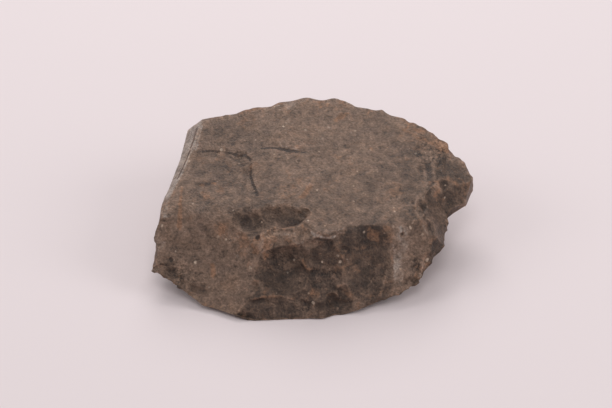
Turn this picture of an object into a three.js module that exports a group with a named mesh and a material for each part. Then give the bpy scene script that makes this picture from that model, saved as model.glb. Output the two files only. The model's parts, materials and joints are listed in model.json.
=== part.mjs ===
// An obsidian rock: one chunky, flaked stone, lying on a small flat spot of its underside.
// Millimetres, +Z up, +X along the stone, -Y to its steep, deeply flaked front.
// The origin is the middle of the stone's bounding box, on the surface that it lies on.
//
// The stone is worked out as it was made: a rounded blank loses one flake after another.
// Each flake leaves a shallow oval hollow, and two hollows that meet leave a sharp ridge.

import * as THREE from "three";
import { mergeVertices } from "three/addons/utils/BufferGeometryUtils.js";

// Driving dimensions
const LENGTH = 90;
const DEPTH = 68;
const HEIGHT = 29;

// How finely the stone is meshed, and how that is put right along its ridges
const MESH_DETAIL = 19;
const RIDGE_STEPS = 10;
const TURN_PASSES = 3;
const TURN_GAIN = 0.8;
const CLOSE = 0.01;
const SAME_CORNER = 1e-5;
const SLIVER = 1e-6;

// Places are shares of half the length, half the depth and the height.
const HALF = new THREE.Vector3(LENGTH / 2, DEPTH / 2, HEIGHT);
const spot = (x, y, z) => new THREE.Vector3(x, y, z).multiply(HALF);

// Every point of the surface is seen from the heart, and no flake reaches it.
const HEART = spot(-0.05, -0.2, 0.28);
const BLANK = spot(1.5, 1.7, 1.3);
const RAY_SPREAD = spot(1, 1, 0.5);

// Directions are an azimuth, counted from +X towards +Y, and a tilt above the horizon.
function toward(azimuth, tilt) {
  const a = THREE.MathUtils.degToRad(azimuth);
  const t = THREE.MathUtils.degToRad(tilt);
  return new THREE.Vector3(Math.cos(a) * Math.cos(t), Math.sin(a) * Math.cos(t), Math.sin(t));
}

// The flakes that were struck off. `at` is the deepest point of the hollow, `faces` is the
// way that the hollow looks there, and `bends` holds its radii, across and up the slope.
const SCARS = [
  // top
  { at: [-0.51, 0.22, 0.786], faces: [237, 79.5], bends: [400, 400] },
  { at: [0.33, 0.12, 0.76], faces: [291, 80.3], bends: [400, 400] },
  // left
  { at: [-0.798, 0.21, 0.732], faces: [173, 46], bends: [150, 100] },
  { at: [-0.85, 0.28, 0.66], faces: [168, -9], bends: [300, 200] },
  { at: [-0.985, -0.44, 0.4], faces: [173, 8], bends: [200, 200] },
  // left big scar
  { at: [-0.63, -0.59, 0.32], faces: [257, 45], bends: [55, 65] },
  // front hollows
  { at: [-0.17, -0.685, 0.33], faces: [266, 38], bends: [20, 12] },
  { at: [0.09, -0.66, 0.41], faces: [272, 25], bends: [14, 20] },
  // foot
  { at: [-0.16, -0.912, 0.1], faces: [272, 38], bends: [300, 60] },
  { at: [0.12, -0.89, 0.1], faces: [279, 38], bends: [100, 40] },
  // shelf and band
  { at: [-0.3, -0.48, 0.6], faces: [258, 56], bends: [50, 40] },
  { at: [-0.38, -0.375, 0.64], faces: [262, 42], bends: [15, 4.5] },
  { at: [-0.22, -0.36, 0.665], faces: [272, 46], bends: [20, 3.4] },
  // dark facet
  { at: [0.3, -0.585, 0.455], faces: [283, 33], bends: [26, 50] },
  // light facet
  { at: [0.555, -0.59, 0.37], faces: [289, 36], bends: [70, 90] },
  // lower chips
  { at: [0.16, -0.88, 0.07], faces: [275, 30], bends: [10, 10] },
  { at: [0.35, -0.84, 0.09], faces: [288, 30], bends: [10, 10] },
  { at: [0.6, -0.79, 0.12], faces: [300, 30], bends: [10, 10] },
  { at: [-0.735, -0.81, 0.09], faces: [245, 30], bends: [10, 10] },
  // right
  { at: [0.83, 0.19, 0.7], faces: [320, 70], bends: [50, 50] },
  { at: [0.775, -0.335, 0.44], faces: [345, 33], bends: [14, 40] },
  { at: [0.725, -0.55, 0.3], faces: [320, 24], bends: [60, 60] },
  { at: [0.76, -0.19, 0.53], faces: [341, 44], bends: [14, 30] },
  { at: [0.91, -0.014, 0.545], faces: [316, 32], bends: [40, 50] },
  { at: [0.825, -0.065, 0.4], faces: [335, -20], bends: [4.5, 4.5] },
  // back
  { at: [-0.68, 0.72, 0.87], faces: [100, 15], bends: [100, 100] },
  { at: [-0.48, 0.815, 0.92], faces: [104, 12], bends: [60, 100] },
  { at: [-0.3, 0.87, 0.95], faces: [108, 15], bends: [60, 100] },
  { at: [-0.12, 0.865, 0.985], faces: [110, 15], bends: [20, 40] },
  { at: [0.03, 0.905, 0.96], faces: [90, 14], bends: [60, 90] },
  { at: [0.16, 0.905, 0.94], faces: [80, 20], bends: [50, 60] },
  { at: [0.25, 0.86, 0.92], faces: [60, 20], bends: [10, 40] },
  { at: [0.37, 0.815, 0.9], faces: [85, 14], bends: [16, 60] },
  { at: [0.48, 0.78, 0.89], faces: [62, 14], bends: [15, 40] },
  { at: [0.58, 0.745, 0.88], faces: [82, 14], bends: [16, 60] },
  { at: [0.67, 0.685, 0.85], faces: [45, 14], bends: [14, 60] },
  { at: [0.76, 0.58, 0.81], faces: [62, 12], bends: [20, 60] },
  { at: [0.84, 0.475, 0.76], faces: [53, 10], bends: [25, 90] },
  { at: [0.91, 0.36, 0.71], faces: [40, 10], bends: [40, 90] },
  { at: [0.973, 0.26, 0.62], faces: [16, 10], bends: [40, 90] },
  { at: [0.965, 0.08, 0.53], faces: [342, -5], bends: [40, 90] },
  { at: [-0.15, 0.95, 0.55], faces: [96, 0], bends: [70, 60] },
  { at: [-0.62, 0.8, 0.35], faces: [118, -22], bends: [60, 60] },
  { at: [0.5, 0.83, 0.45], faces: [66, -18], bends: [60, 50] },
  { at: [0.75, 0.5, 0.4], faces: [40, -30], bends: [50, 50] },
  // underside
  { at: [-0.67, -0.1, 0.11], faces: [178, -73], bends: [120, 150] },
  { at: [-0.75, 0.45, 0.25], faces: [150, -50], bends: [60, 80] },
  { at: [-0.67, -0.87, 0.06], faces: [248, -55], bends: [150, 150] },
  { at: [0.68, 0.05, 0.2], faces: [5, -64], bends: [100, 120] },
  { at: [0.05, 0.78, 0.2], faces: [88, -60], bends: [90, 90] },
  { at: [0.42, -0.83, 0.08], faces: [306, -61], bends: [250, 250] },
  { at: [0.672, -0.42, 0.18], faces: [350, -51], bends: [250, 250] },
  { at: [-0.73, -0.7, 0.07], faces: [197, -62], bends: [250, 250] },
];

// The hollow that one flake leaves: part of the inside of an oval ball.
class Scar {
  constructor({ at, faces, bends }) {
    const out = toward(...faces);
    const across = new THREE.Vector3(0, 0, 1).cross(out).normalize();
    this.axes = [across, out.clone().cross(across), out];
    const depth = Math.min(...bends);
    this.sizes = bends.map((bend) => Math.sqrt(bend * depth)).concat(depth);
    this.middle = spot(...at).addScaledVector(out, depth);
  }

  inBall(vector) {
    return new THREE.Vector3(...this.axes.map((axis, i) => vector.dot(axis) / this.sizes[i]));
  }

  // How far from the heart a ray goes into the hollow
  distance(ray) {
    const from = this.inBall(HEART.clone().sub(this.middle));
    const along = this.inBall(ray);
    const a = along.lengthSq();
    const b = from.dot(along);
    const root = b * b - a * (from.lengthSq() - 1);
    const nearest = (-b - Math.sqrt(root)) / a;
    return root >= 0 && nearest > 0 ? nearest : Infinity;
  }
}

const scars = SCARS.map((scar) => new Scar(scar));

// How far the stone goes along a ray from its heart, and what ends it there
function reach(ray) {
  let distance = 1 / ray.clone().divide(BLANK).length();
  let end = BLANK;
  for (const scar of scars) {
    const here = scar.distance(ray);
    if (here < distance) [distance, end] = [here, scar];
  }
  const ground = ray.z < 0 ? -HEART.z / ray.z : Infinity;
  return ground < distance ? { distance: ground, end: "ground" } : { distance, end };
}

const pointAlong = (ray) => HEART.clone().addScaledVector(ray, reach(ray).distance);

function forEachEdge(faces, visit) {
  for (let face = 0; face < faces.length; face += 3) {
    for (let side = 0; side < 3; side++) {
      const [i, j] = [faces[face + side], faces[face + ((side + 1) % 3)]];
      visit(i, j, face, faces[face + ((side + 2) % 3)]);
    }
  }
}

// Rays from the heart, spread evenly over a flattened ball
function castRays() {
  let ball = new THREE.IcosahedronGeometry(1, MESH_DETAIL);
  ball.deleteAttribute("normal");
  ball.deleteAttribute("uv");
  ball = mergeVertices(ball, SAME_CORNER);
  const corners = ball.attributes.position;
  const rays = Array.from({ length: corners.count }, (_, i) =>
    new THREE.Vector3().fromBufferAttribute(corners, i).multiply(RAY_SPREAD).normalize(),
  );
  return { rays, faces: Array.from(ball.index.array) };
}

// Slides the nearest ray on to each ridge that an edge of the mesh crosses.
function slideToRidges(rays, faces) {
  const hits = rays.map(reach);
  const slides = new Map();
  forEachEdge(faces, (i, j) => {
    if (i > j || hits[i].end === hits[j].end) return;
    const between = (share) => rays[i].clone().lerp(rays[j], share).normalize();
    let [low, high] = [0, 1];
    for (let step = 0; step < RIDGE_STEPS; step++) {
      const middle = (low + high) / 2;
      if (reach(between(middle)).end === hits[i].end) low = middle;
      else high = middle;
    }
    const [mover, share] = low < 0.5 ? [i, low] : [j, 1 - high];
    const length = share * rays[i].distanceTo(rays[j]) * hits[mover].distance;
    if (slides.has(mover) && slides.get(mover).length < length) return;
    slides.set(mover, { length, ray: between(low < 0.5 ? low : high) });
  });
  slides.forEach(({ ray }, mover) => (rays[mover] = ray));
}

// Turns an edge between two faces where the other diagonal lies closer to the stone.
function turnEdges(rays, faces, points) {
  const gap = (i, j) => {
    const middle = points[i].clone().lerp(points[j], 0.5).sub(HEART);
    const length = middle.length();
    return Math.abs(length - reach(middle.divideScalar(length)).distance);
  };
  const facesOut = (i, j, k) => rays[i].clone().cross(rays[j]).dot(rays[k]) > SLIVER;
  for (let pass = 0; pass < TURN_PASSES; pass++) {
    const sides = new Map();
    forEachEdge(faces, (i, j, face, far) => sides.set(`${i},${j}`, { i, j, face, far }));
    const turned = new Set();
    for (const { i, j, face, far } of sides.values()) {
      const other = sides.get(`${j},${i}`);
      if (i > j || turned.has(face) || turned.has(other.face)) continue;
      if (!facesOut(far, i, other.far) || !facesOut(other.far, j, far)) continue;
      if (gap(far, other.far) > TURN_GAIN * gap(i, j) - CLOSE) continue;
      faces.splice(face, 3, far, i, other.far);
      faces.splice(other.face, 3, other.far, j, far);
      turned.add(face).add(other.face);
    }
  }
}

// Brings the stone to its real size, with the middle of its base over the origin.
function fitToSize(points) {
  const box = new THREE.Box3().setFromPoints(points);
  const middle = box.getCenter(new THREE.Vector3()).setZ(0);
  const share = spot(2, 2, 1).divide(box.getSize(new THREE.Vector3()));
  for (const point of points) {
    point.sub(middle).multiply(share);
    point.z = Math.max(point.z, 0);
  }
}

function buildStone() {
  const { rays, faces } = castRays();
  slideToRidges(rays, faces);
  const points = rays.map(pointAlong);
  turnEdges(rays, faces, points);
  fitToSize(points);
  const stone = new THREE.BufferGeometry().setFromPoints(points);
  stone.setIndex(faces);
  stone.computeVertexNormals();
  return stone;
}

const obsidian = new THREE.MeshStandardMaterial({ color: 0x655950, roughness: 0.55, metalness: 0 });
const rock = new THREE.Mesh(buildStone(), obsidian);
rock.name = "obsidian_rock";

const group = new THREE.Group();
group.add(rock);
export default group;
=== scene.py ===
"""An obsidian rock: its fine flake scars, its weathered skin and a plain stage."""

import json
import math

import bmesh
import bpy
import numpy as np
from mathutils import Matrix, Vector


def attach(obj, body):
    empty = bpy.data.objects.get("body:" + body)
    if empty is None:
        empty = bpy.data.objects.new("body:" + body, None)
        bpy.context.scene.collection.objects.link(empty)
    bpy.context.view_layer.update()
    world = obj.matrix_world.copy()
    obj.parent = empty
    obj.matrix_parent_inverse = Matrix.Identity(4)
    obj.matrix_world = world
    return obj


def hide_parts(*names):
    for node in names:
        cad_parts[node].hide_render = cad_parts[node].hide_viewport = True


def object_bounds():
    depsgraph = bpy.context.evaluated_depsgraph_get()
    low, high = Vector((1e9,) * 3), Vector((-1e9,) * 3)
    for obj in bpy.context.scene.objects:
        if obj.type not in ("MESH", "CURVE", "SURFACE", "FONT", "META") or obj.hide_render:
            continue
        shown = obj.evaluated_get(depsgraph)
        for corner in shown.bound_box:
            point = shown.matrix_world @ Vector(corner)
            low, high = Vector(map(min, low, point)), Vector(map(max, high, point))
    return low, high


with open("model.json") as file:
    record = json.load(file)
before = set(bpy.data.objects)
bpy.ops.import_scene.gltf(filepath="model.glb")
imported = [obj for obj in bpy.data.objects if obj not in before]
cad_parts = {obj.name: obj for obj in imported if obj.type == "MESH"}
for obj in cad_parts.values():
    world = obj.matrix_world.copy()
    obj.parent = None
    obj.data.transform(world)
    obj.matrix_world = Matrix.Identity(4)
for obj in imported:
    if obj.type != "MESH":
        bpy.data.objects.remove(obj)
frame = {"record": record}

bl_info = {
    "name": "Obsidian Rock",
    "version": (1, 0, 0),
    "blender": (4, 5, 0),
    "location": "View3D > Sidebar > Stone",
    "description": "Flakes, weathers and lights one piece of obsidian",
    "category": "Add Mesh",
}

NODE = "obsidian_rock"
SLOT = frame["record"]["materials"][0]["slot"]
CAD_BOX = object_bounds()

# Driving dimensions, in metres. Places on the stone are shares of half its length, half its
# depth and its height.
BOX_LOW, BOX_HIGH = np.array(CAD_BOX[0]), np.array(CAD_BOX[1])
LENGTH, DEPTH, HEIGHT = BOX_HIGH - BOX_LOW
HALF = np.array([LENGTH / 2, DEPTH / 2, HEIGHT])
MM = LENGTH / 90

# The stone's own rule: a rounded blank loses one flake after another. Every point of its
# surface is seen from the heart, and no flake reaches it.
HEART = HALF * [-0.05, -0.2, 0.28]
BLANK = HALF * [1.5, 1.7, 1.3]
RAY_SPREAD = HALF * [1, 1, 0.5]
FINER_TOWARDS = np.array([0.0, -0.18, 0.2])
RIDGE_STEPS = 10

# The flakes that were struck off: the deepest point of the hollow, the azimuth and tilt that
# the hollow looks to there, its radii across and up the slope in mm, and its patina, from 0
# for dark glass to 1 for pale, thick skin.
SCARS = [
    # top
    ((-0.51, 0.22, 0.786), (237, 79.5), (400, 400), 0.62),
    ((0.33, 0.12, 0.76), (291, 80.3), (400, 400), 0.66),
    # left
    # painted reflection: patina 1.8 paints the glint of the glossy left strip, past pale skin into the
    # palest colour
    ((-0.798, 0.21, 0.732), (173, 46), (150, 100), 1.8),
    ((-0.85, 0.28, 0.66), (168, -9), (300, 200), 0.8),
    ((-0.985, -0.44, 0.4), (173, 8), (200, 200), 0.5),
    # left big scar
    ((-0.63, -0.59, 0.32), (257, 45), (55, 65), 0.85),
    # front hollows
    ((-0.17, -0.685, 0.33), (266, 38), (20, 12), 0.3),
    ((0.09, -0.66, 0.41), (272, 25), (14, 20), 0.22),
    # foot
    ((-0.16, -0.912, 0.1), (272, 38), (300, 60), 0.22),
    ((0.12, -0.89, 0.1), (279, 38), (100, 40), 0.3),
    # shelf and band
    ((-0.3, -0.48, 0.6), (258, 56), (50, 40), 0.62),
    ((-0.38, -0.375, 0.64), (262, 42), (15, 4.5), 0.6),
    ((-0.22, -0.36, 0.665), (272, 46), (20, 3.4), 0.6),
    # dark facet
    ((0.3, -0.585, 0.455), (283, 33), (26, 50), 0.22),
    # light facet
    ((0.555, -0.59, 0.37), (289, 36), (70, 90), 1.05),
    # lower chips
    ((0.16, -0.88, 0.07), (275, 30), (10, 10), 0.1),
    ((0.35, -0.84, 0.09), (288, 30), (10, 10), 0.1),
    ((0.6, -0.79, 0.12), (300, 30), (10, 10), 0.3),
    ((-0.735, -0.81, 0.09), (245, 30), (10, 10), 0.15),
    # right
    ((0.83, 0.19, 0.7), (320, 70), (50, 50), 0.35),
    ((0.775, -0.335, 0.44), (345, 33), (14, 40), 0.6),
    ((0.725, -0.55, 0.3), (320, 24), (60, 60), 0.28),
    ((0.76, -0.19, 0.53), (341, 44), (14, 30), 0.5),
    ((0.91, -0.014, 0.545), (316, 32), (40, 50), 0.2),
    ((0.825, -0.065, 0.4), (335, -20), (4.5, 4.5), 0.2),
    # back
    ((-0.68, 0.72, 0.87), (100, 15), (100, 100), 0.5),
    ((-0.48, 0.815, 0.92), (104, 12), (60, 100), 0.4),
    ((-0.3, 0.87, 0.95), (108, 15), (60, 100), 0.55),
    ((-0.12, 0.865, 0.985), (110, 15), (20, 40), 0.35),
    ((0.03, 0.905, 0.96), (90, 14), (60, 90), 0.5),
    ((0.16, 0.905, 0.94), (80, 20), (50, 60), 0.4),
    ((0.25, 0.86, 0.92), (60, 20), (10, 40), 0.3),
    ((0.37, 0.815, 0.9), (85, 14), (16, 60), 0.5),
    ((0.48, 0.78, 0.89), (62, 14), (15, 40), 0.35),
    ((0.58, 0.745, 0.88), (82, 14), (16, 60), 0.5),
    ((0.67, 0.685, 0.85), (45, 14), (14, 60), 0.3),
    ((0.76, 0.58, 0.81), (62, 12), (20, 60), 0.45),
    ((0.84, 0.475, 0.76), (53, 10), (25, 90), 0.35),
    ((0.91, 0.36, 0.71), (40, 10), (40, 90), 0.45),
    ((0.973, 0.26, 0.62), (16, 10), (40, 90), 0.5),
    ((0.965, 0.08, 0.53), (342, -5), (40, 90), 0.35),
    ((-0.15, 0.95, 0.55), (96, 0), (70, 60), 0.4),
    ((-0.62, 0.8, 0.35), (118, -22), (60, 60), 0.5),
    ((0.5, 0.83, 0.45), (66, -18), (60, 50), 0.45),
    ((0.75, 0.5, 0.4), (40, -30), (50, 50), 0.35),
    # underside
    ((-0.67, -0.1, 0.11), (178, -73), (120, 150), 0.5),
    ((-0.75, 0.45, 0.25), (150, -50), (60, 80), 0.45),
    ((-0.67, -0.87, 0.06), (248, -55), (150, 150), 0.4),
    ((0.68, 0.05, 0.2), (5, -64), (100, 120), 0.45),
    ((0.05, 0.78, 0.2), (88, -60), (90, 90), 0.5),
    ((0.42, -0.83, 0.08), (306, -61), (250, 250), 0.4),
    ((0.672, -0.42, 0.18), (350, -51), (250, 250), 0.4),
    ((-0.73, -0.7, 0.07), (197, -62), (250, 250), 0.4),
]
RESTING_PATINA = 0.5
BLANK_PATINA = 0.7

# Where the sides of the stone are read from: the two directions that place a mark there,
# and the way the side looks
SIDES = {
    "top": ((0, 1), (0, 0, 1)),
    "front": ((0, 2), (0, -1, 0)),
    "left": ((1, 2), (-1, 0, 0)),
    "right": ((1, 2), (1, 0, 0)),
    "back": ((0, 2), (0, 1, 0)),
}
FACES_SIDE = 0.25
PAINTED_SIDES = ("top", "front")
MARK_SPREAD = 1.6
MARK_EDGE = 1.4
SPECK_RIM = 1.3
SPECK_SOFTNESS = 0.7
SPECK_SIZE = 0.6
PATINA_BLUR = 4

# How far the painted marks stray, in mm: the fine ones, which are narrower than this
# half-width, and the others
FINE_MARK = 1.1
STRAY = (0.5, 2.2)
STRAY_SIZE = 1.4

# Marks on single flakes, each along a line of places on one side: its half-width and depth in
# mm (below zero stands out), how much darker or paler it is, and how much soil it holds
MARKS = [
    # arc of a short flake on the top, and the crack beside it: cut grooves, with painted shadow along their
    # step edges
    ("top", [(-0.7, 0.335), (-0.65, 0.34), (-0.6, 0.325)], (0.32, 0.4, -2.6, 0.1)),
    ("top", [(-0.56, 0.31), (-0.5, 0.285), (-0.43, 0.26), (-0.395, 0.2)], (0.38, 0.45, -2.8, 0.2)),
    ("top", [(-0.46, 0.275), (-0.405, 0.25)], (0.6, 0.3, -0.2, 0.1)),
    ("top", [(-0.395, 0.15), (-0.395, 0.02), (-0.38, -0.07), (-0.35, -0.2)], (0.33, 0.45, -2.8, 0.2)),
    ("top", [(-0.33, 0.31), (-0.25, 0.315), (-0.15, 0.275), (-0.07, 0.255)], (0.33, 0.5, -2.8, 0.0)),
    ("top", [(-0.22, 0.305), (-0.17, 0.285), (-0.11, 0.265)], (0.65, 0.6, -2.4, -0.1)),
    ("top", [(-0.15, 0.25)], (0.5, 0.6, -1.2, 0.1)),
    ("top", [(-0.06, 0.26)], (0.6, 0.4, -0.9, 0.1)),
    ("top", [(-0.3, 0.335), (-0.2, 0.33), (-0.1, 0.29)], (0.35, -0.2, 0.6, 0.0)),
    ("top", [(-0.37, 0.03), (-0.355, -0.08), (-0.325, -0.19)], (0.3, -0.1, 0.4, 0.1)),
    ("top", [(-0.71, -0.03), (-0.66, -0.035), (-0.62, -0.01)], (0.7, 0.35, -0.8, 0.5)),
    ("top", [(0.045, 0.055)], (0.45, 0.5, -1.0, 0.0)),
    # shallow step on the right of the top
    ("top", [(0.46, 0.28), (0.55, 0.275)], (0.7, 0.25, -0.35, 0.1)),
    ("top", [(0.63, 0.36), (0.72, 0.355)], (0.7, 0.4, -0.45, 0.2)),
    ("top", [(0.65, 0.3), (0.71, 0.2), (0.72, 0.0), (0.7, -0.15)], (0.8, 0.25, -0.35, 0.1)),
    ("top", [(0.82, 0.22), (0.8, 0.0), (0.78, -0.2)], (4.0, 0.0, -0.12, 0.0)),
    ("top", [(0.68, 0.22), (0.69, 0.05)], (0.5, -0.3, 0.5, 0.2)),
    ("top", [(0.415, 0.175), (0.425, 0.15)], (0.3, 0.3, -0.6, 0.0)),
    ("top", [(0.385, 0.14), (0.39, 0.09)], (0.4, 0.0, 0.5, 0.0)),
    ("top", [(0.43, 0.04), (0.42, 0.0)], (0.4, 0.0, 0.4, 0.0)),
    ("top", [(0.53, -0.06), (0.53, -0.11)], (0.35, 0.3, -0.5, 0.0)),
    ("top", [(0.525, -0.14), (0.52, -0.18)], (0.35, 0.0, 0.4, 0.0)),
    ("top", [(0.605, -0.23)], (0.5, 0.5, -0.9, 0.0)),
    # paler and darker parts of the top
    ("top", [(-0.25, 0.6), (0.1, 0.55), (0.35, 0.4)], (7.0, 0.0, 0.3, 0.0)),
    ("top", [(-0.1, 0.1), (0.25, 0.15)], (6.0, 0.0, 0.3, 0.0)),
    ("top", [(0.33, -0.5), (0.46, -0.51)], (2.2, 0.0, -0.45, 0.2)),
    ("top", [(0.6, 0.1), (0.6, -0.3)], (6.0, 0.0, -0.25, 0.0)),
    ("top", [(-0.55, 0.2), (-0.5, 0.0)], (4.5, 0.0, -0.12, 0.0)),
    # streaks and stains on the top
    ("top", [(-0.09, -0.235), (-0.06, -0.2), (-0.03, -0.11)], (1.0, -0.15, 0.25, 0.7)),
    ("top", [(-0.03, -0.11), (0.02, 0.0), (0.08, 0.1)], (1.2, -0.15, 0.2, 0.1)),
    ("top", [(0.14, 0.63), (0.2, 0.7)], (1.0, 0.0, 0.15, 0.7)),
    ("top", [(0.0, 0.67)], (1.6, 0.0, 0.1, 0.5)),
    ("top", [(-0.45, 0.56)], (1.2, 0.0, 0.1, 0.7)),
    ("top", [(-0.36, 0.14)], (1.1, -0.1, 0.3, 0.4)),
    ("top", [(-0.54, 0.1)], (0.7, 0.0, 0.1, 0.7)),
    ("top", [(-0.68, -0.13), (-0.66, -0.18)], (1.6, 0.0, 0.1, 0.7)),
    ("top", [(-0.73, 0.27), (-0.7, 0.22)], (1.8, 0.0, 0.0, 0.5)),
    ("top", [(-0.58, 0.0)], (1.8, 0.0, 0.0, 0.4)),
    ("top", [(-0.82, -0.05), (-0.825, -0.3), (-0.82, -0.4)], (0.6, 0.0, 0.2, 0.8)),
    ("top", [(0.58, 0.52), (0.72, 0.5), (0.8, 0.42)], (4.5, 0.0, 0.1, 0.5)),
    ("top", [(0.85, 0.32)], (2.5, 0.0, 0.2, 0.3)),
    ("top", [(0.35, 0.34)], (1.0, 0.0, 0.1, 0.8)),
    ("top", [(0.775, 0.17)], (0.8, 0.0, 0.1, 0.6)),
    ("top", [(0.2, -0.13)], (0.9, 0.0, 0.1, 0.6)),
    ("top", [(0.93, 0.1), (0.94, -0.05)], (2.5, 0.2, -0.35, 0.1)),
    # the two fine lines of the left edge
    (
        "top",
        [(-0.744, 0.6), (-0.762, 0.47), (-0.79, 0.32), (-0.815, 0.2), (-0.85, 0.06)],
        (0.35, 0.1, -1.7, 0.0),
    ),
    ("top", [(-0.79, 0.33)], (0.6, 0.3, -1.0, 0.2)),
    # painted reflection: fades the left strip's glint towards its lower end, and a pale line along it
    ("top", [(-0.92, -0.2), (-0.97, -0.35)], (2.2, 0.0, -0.7, 0.0)),
    ("top", [(-0.71, 0.6), (-0.735, 0.4), (-0.77, 0.2), (-0.81, 0.03)], (0.35, -0.1, 0.6, 0.0)),
    # dark band and the lump under it
    ("top", [(-0.15, -0.46), (-0.09, -0.48)], (1.2, 0.4, -0.35, -0.3)),
    (
        "top",
        [(-0.34, -0.56), (-0.28, -0.51), (-0.22, -0.49), (-0.15, -0.515), (-0.1, -0.53)],
        (0.7, -0.6, 0.35, 0.5),
    ),
    ("top", [(-0.32, -0.59), (-0.22, -0.55), (-0.12, -0.58)], (2.2, -1.0, 0.4, 0.1)),
    ("top", [(-0.26, -0.54), (-0.24, -0.58), (-0.25, -0.63)], (0.4, 0.2, -0.6, 0.0)),
    ("top", [(-0.14, -0.55), (-0.13, -0.6)], (0.35, 0.2, -0.6, 0.0)),
    ("top", [(-0.2, -0.5), (-0.18, -0.53)], (0.4, -0.2, 0.5, 0.6)),
    ("top", [(-0.33, -0.63), (-0.3, -0.66)], (0.6, -0.2, 0.3, 0.9)),
    ("top", [(-0.345, -0.57), (-0.32, -0.6)], (1.3, -0.2, 0.4, 0.9)),
    ("top", [(-0.345, -0.55)], (0.6, 0.8, -4.5, -3.0)),
    ("top", [(-0.3, -0.55), (-0.3, -0.62)], (0.5, 0.3, -0.4, 0.0)),
    ("top", [(-0.2, -0.53), (-0.12, -0.545)], (0.6, 0.3, -0.5, -0.3)),
    ("top", [(-0.17, -0.6), (-0.09, -0.6)], (0.9, 0.2, -0.3, 0.1)),
    ("top", [(-0.08, -0.52), (-0.06, -0.55)], (0.9, -0.4, 0.5, 0.9)),
    ("top", [(-0.24, -0.43), (-0.23, -0.45)], (0.5, -0.2, 0.5, 0.2)),
    # painted highlight: the pale lines and the pale patch along the lip of the front hollows
    ("front", [(-0.02, 0.685), (0.04, 0.66)], (0.5, -0.3, 1.2, 0.1)),
    ("front", [(0.04, 0.65), (0.12, 0.645)], (0.5, -0.3, 1.5, 0.0)),
    ("front", [(0.145, 0.665), (0.17, 0.66)], (1.1, -0.2, 1.0, 0.1)),
    ("front", [(0.14, 0.56), (0.13, 0.53)], (1.0, -0.1, 0.3, 0.5)),
    # front hollows
    ("front", [(0.02, 0.59), (0.09, 0.57)], (1.6, 0.3, -0.3, -0.2)),
    ("front", [(0.0, 0.5), (0.01, 0.44)], (1.3, 0.3, -0.4, -0.3)),
    # a raised ridge at the edge of the front hollows, with a painted highlight along it
    ("front", [(0.175, 0.46), (0.175, 0.15)], (0.5, -0.3, 0.3, 0.1)),
    ("front", [(-0.075, 0.43), (-0.05, 0.375), (-0.02, 0.36)], (0.6, -0.3, 0.2, 0.7)),
    ("front", [(-0.1, 0.34), (-0.03, 0.33)], (1.5, 0.3, -0.35, -0.2)),
    ("front", [(-0.24, 0.44), (-0.16, 0.42)], (1.8, 0.3, -0.3, -0.2)),
    ("front", [(-0.3, 0.29), (-0.2, 0.27)], (1.8, 0.2, -0.2, -0.2)),
    ("front", [(0.18, 0.52), (0.21, 0.49)], (0.45, 0.4, -0.6, 0.0)),
    ("front", [(0.14, 0.225), (0.16, 0.23)], (0.5, -0.2, 0.5, 0.5)),
    ("front", [(0.12, 0.2), (0.15, 0.195)], (0.5, 0.3, -0.5, 0.0)),
    # foot
    ("front", [(-0.37, 0.17), (-0.3, 0.185), (-0.2, 0.185), (-0.13, 0.16)], (0.5, -0.3, 0.25, 0.6)),
    ("front", [(-0.37, 0.145), (-0.31, 0.155)], (0.5, 0.3, -0.5, 0.0)),
    ("front", [(-0.01, 0.19), (0.02, 0.17)], (0.9, -0.1, 0.2, 0.7)),
    ("front", [(-0.09, 0.1), (-0.04, 0.04)], (2.0, 0.0, 0.2, 0.2)),
    ("front", [(-0.07, 0.13), (-0.03, 0.11)], (0.7, 0.4, -0.5, -0.1)),
    ("front", [(0.03, 0.1), (0.09, 0.11)], (1.0, 0.5, -0.5, -0.1)),
    ("front", [(0.15, 0.12), (0.21, 0.1)], (1.2, 0.6, -0.6, -0.1)),
    # dark facet
    ("front", [(0.24, 0.53)], (1.2, 0.0, 0.15, 0.4)),
    ("front", [(0.33, 0.25), (0.36, 0.205)], (0.25, 0.0, 0.6, 0.0)),
    ("front", [(0.36, 0.25), (0.33, 0.205)], (0.25, 0.0, 0.6, 0.0)),
    ("front", [(0.44, 0.3), (0.42, 0.2), (0.4, 0.13)], (0.5, -0.2, 0.4, 0.1)),
    # light facet
    ("front", [(0.535, 0.565)], (0.6, 0.6, -1.2, -0.3)),
    ("front", [(0.525, 0.62), (0.525, 0.59)], (0.4, 0.0, 0.8, 0.1)),
    ("front", [(0.53, 0.55), (0.52, 0.4), (0.49, 0.27)], (3.6, 0.0, 0.3, 0.0)),
    ("front", [(0.5, 0.38), (0.49, 0.33)], (1.3, 0.0, 0.35, 0.0)),
    ("front", [(0.63, 0.62), (0.63, 0.4), (0.6, 0.28)], (2.4, 0.0, -0.35, -0.2)),
    # left big scar
    ("front", [(-0.825, 0.68), (-0.835, 0.57)], (0.6, 0.0, 0.2, 0.9)),
    ("front", [(-0.56, 0.57), (-0.45, 0.53)], (2.6, 0.0, 0.2, 0.35)),
    ("front", [(-0.62, 0.3), (-0.62, 0.26)], (0.9, 0.1, 0.15, 1.0)),
    ("front", [(-0.67, 0.37)], (1.2, 0.0, 0.05, 0.5)),
    ("front", [(-0.66, 0.17)], (0.7, 0.1, 0.2, 0.8)),
    ("front", [(-0.57, 0.21), (-0.55, 0.18)], (0.7, 0.1, 0.1, 0.6)),
    ("front", [(-0.95, 0.61), (-0.92, 0.61)], (0.35, 0.3, -0.6, 0.0)),
    ("front", [(-0.88, 0.33)], (0.6, 0.6, -1.1, 0.0)),
    ("front", [(-0.9, 0.34)], (0.5, 0.0, 0.3, 0.5)),
    ("front", [(-0.94, 0.3), (-0.91, 0.285)], (0.4, 0.4, -0.8, 0.0)),
    ("front", [(-0.89, 0.26), (-0.86, 0.235)], (1.7, 0.8, -0.55, 0.0)),
    ("front", [(-0.83, 0.25), (-0.83, 0.19)], (0.4, -0.3, 0.4, 0.3)),
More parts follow.
